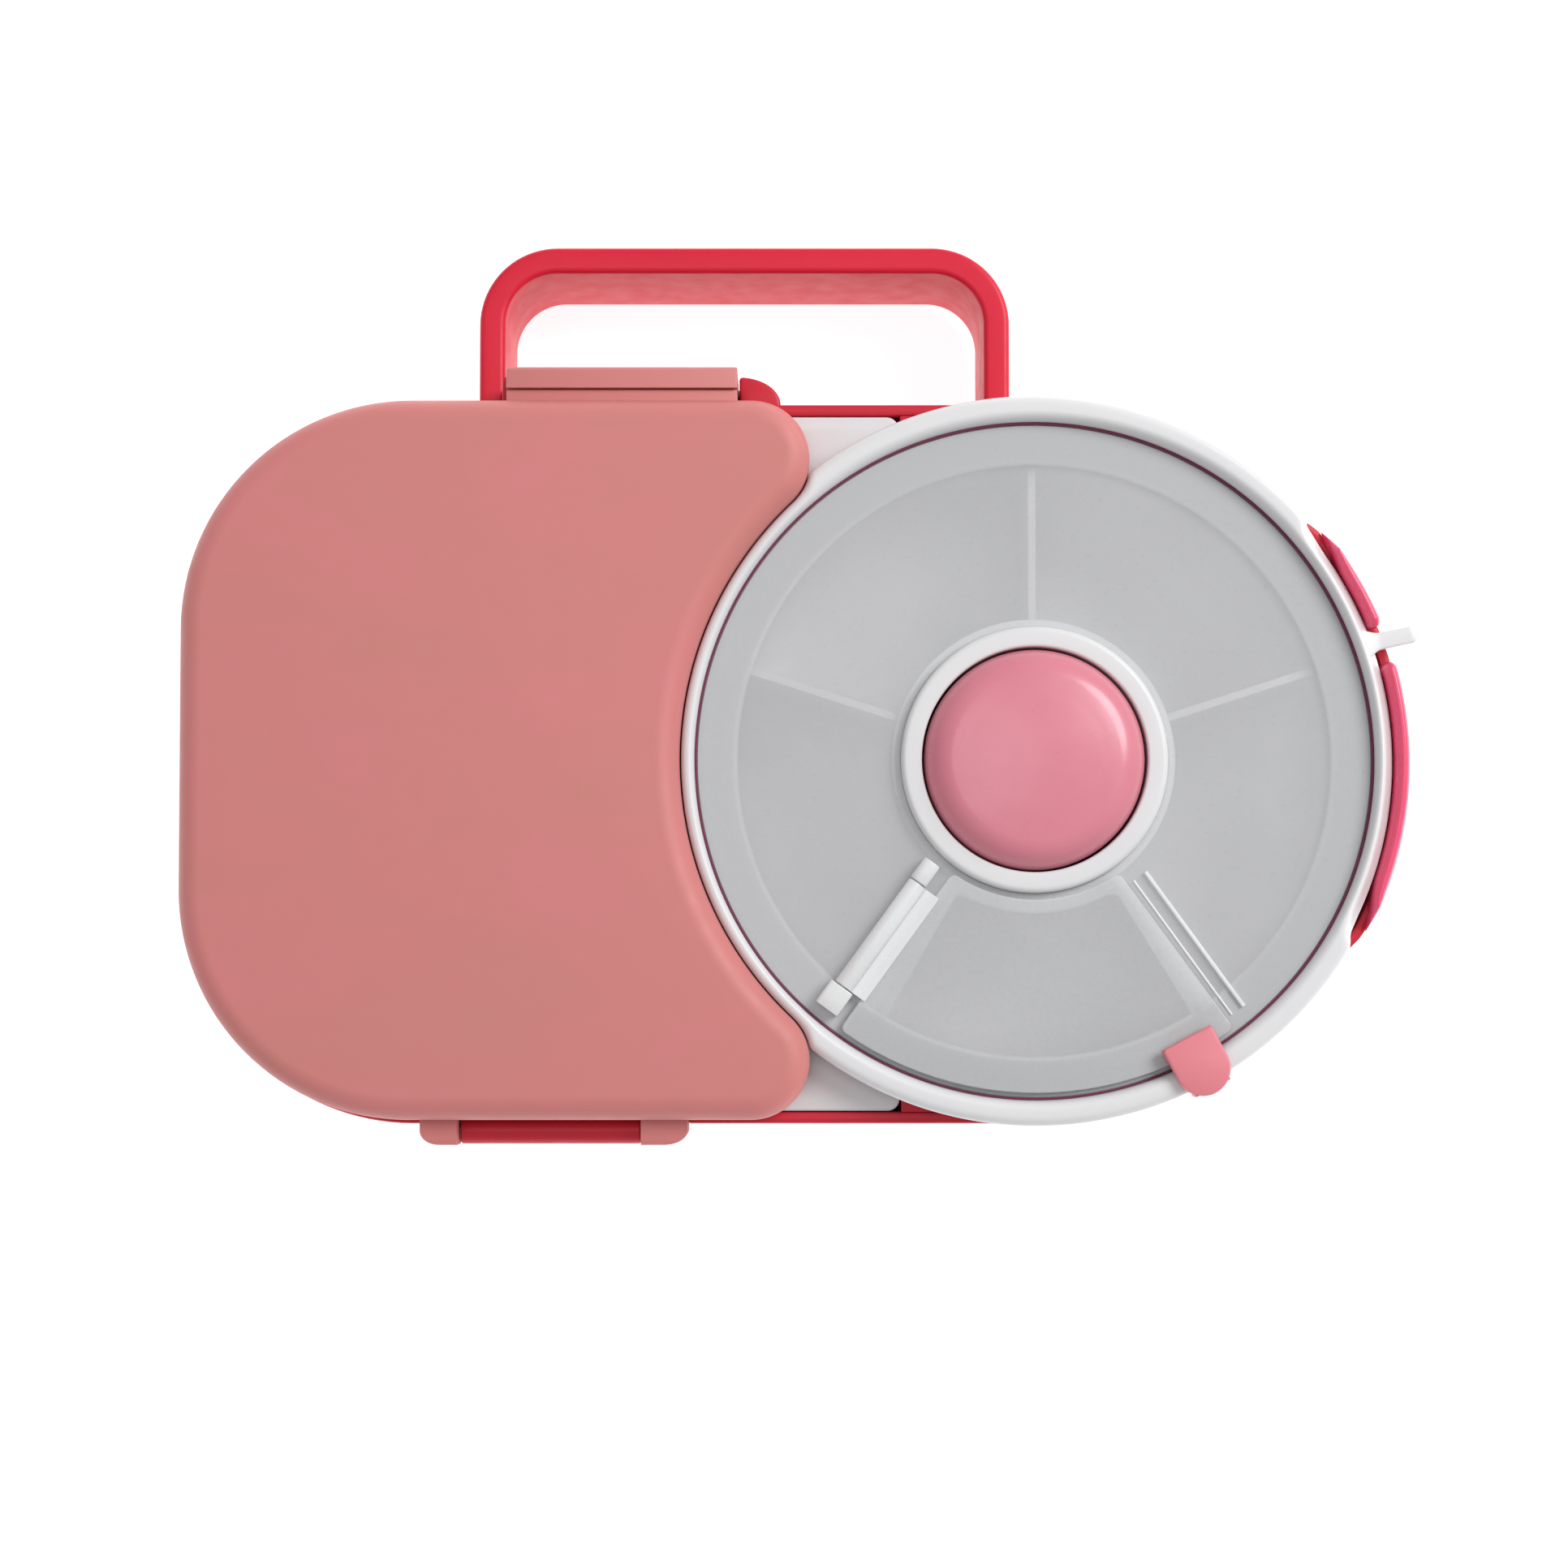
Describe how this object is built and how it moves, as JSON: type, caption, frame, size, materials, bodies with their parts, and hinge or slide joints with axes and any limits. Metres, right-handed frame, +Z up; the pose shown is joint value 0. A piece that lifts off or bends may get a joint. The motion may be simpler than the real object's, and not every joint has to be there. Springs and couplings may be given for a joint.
{
  "type": "lunchbox with snack spinner",
  "caption": "Child's bento lunchbox with a hinged lid, side latch, carry handle and a lift-out rotary snack dispenser with push button and clear door.",
  "frame": {"origin": "centre of the tub's flat underside", "axes": "+X along the length towards the snack spinner, +Y towards the carry handle, +Z up through the lid"},
  "size_m": [0.2541, 0.19, 0.0565],
  "materials": {
    "crimson_plastic": "satin moulded",
    "handle_plastic": "satin moulded",
    "rose_plastic": "gloss soft-touch",
    "salmon_plastic": "fine matte",
    "white_plastic": "satin moulded",
    "inner_plastic": "satin moulded",
    "clear_plastic": "clear moulded plastic",
    "button_plastic": "soft gloss",
    "clip_plastic": "satin",
    "magenta_seal": "matt silicone",
    "silicone": "matt silicone",
    "foot_rubber": "matt",
    "steel": "bright"
  },
  "bodies": {
    "tub": {"base_shell": "crimson_plastic", "rim_guard": "rose_plastic", "non_slip_feet": "foot_rubber", "handle": "handle_plastic", "handle_screws": "steel", "bento_tray": "white_plastic", "latch_pin": "steel", "lid_hinge_pin": "steel"},
    "lunch_lid": {"lid_shell": "salmon_plastic", "lid_liner": "white_plastic", "lid_gasket": "silicone"},
    "latch": {"latch_flap": "salmon_plastic"},
    "housing": {"spinner_housing": "white_plastic", "centre_post": "inner_plastic", "post_screw": "steel", "index_pawl": "inner_plastic", "button_spring": "steel"},
    "tray_rotor": {"snack_tray": "white_plastic", "index_wheel": "inner_plastic", "cam_follower": "inner_plastic"},
    "button": {"push_button": "button_plastic", "cam_sleeve": "inner_plastic"},
    "ring_lid": {"spinner_ring": "white_plastic", "pull_tab": "white_plastic", "window_seal": "magenta_seal", "window": "clear_plastic", "hub_collar": "white_plastic", "door_hinge_pin": "clear_plastic"},
    "door_leaf": {"door": "clear_plastic", "door_gasket": "silicone", "clip_pin": "steel"},
    "clip": {"rim_clip": "clip_plastic"}
  },
  "joints": [
    {"name": "lid_hinge", "type": "hinge", "parent": "tub", "child": "lunch_lid", "pos_m": [-0.051, -0.0762, 0.041], "axis": [1, 0, 0], "range_deg": [0, 110]},
    {"name": "latch_hinge", "type": "hinge", "parent": "tub", "child": "latch", "pos_m": [-0.036, 0.078, 0.036], "axis": [-1, 0, 0], "range_deg": [0, 95]},
    {"name": "spinner_lift", "type": "slide", "parent": "tub", "child": "housing", "axis": [0, 0, 1], "range_m": [0, 0.06]},
    {"name": "tray_spin", "type": "hinge", "parent": "housing", "child": "tray_rotor", "pos_m": [0.0486, 0, 0.02], "axis": [0, 0, 1], "range_deg": [0, 72]},
    {"name": "button_press", "type": "slide", "parent": "housing", "child": "button", "axis": [0, 0, -1], "range_m": [0, 0.006], "stiffness_N_per_m": 250, "springref_m": -0.004, "deforming": ["button_spring"]},
    {"name": "ring_lid_lift", "type": "slide", "parent": "housing", "child": "ring_lid", "axis": [0, 0, 1], "range_m": [0, 0.03]},
    {"name": "door_hinge", "type": "hinge", "parent": "ring_lid", "child": "door_leaf", "pos_m": [0.01843, -0.0337, 0.0503], "axis": [-0.5878, -0.809, 0], "range_deg": [0, 105]},
    {"name": "clip_hinge", "type": "hinge", "parent": "door_leaf", "child": "clip", "pos_m": [0.07949, -0.0581, 0.0522], "axis": [-0.8829, -0.4695, 0], "range_deg": [0, 60]}
  ],
  "couplings": [
    {"joint": "button_press", "follows": "tray_spin", "m_per_rad": 0.0047747}
  ]
}
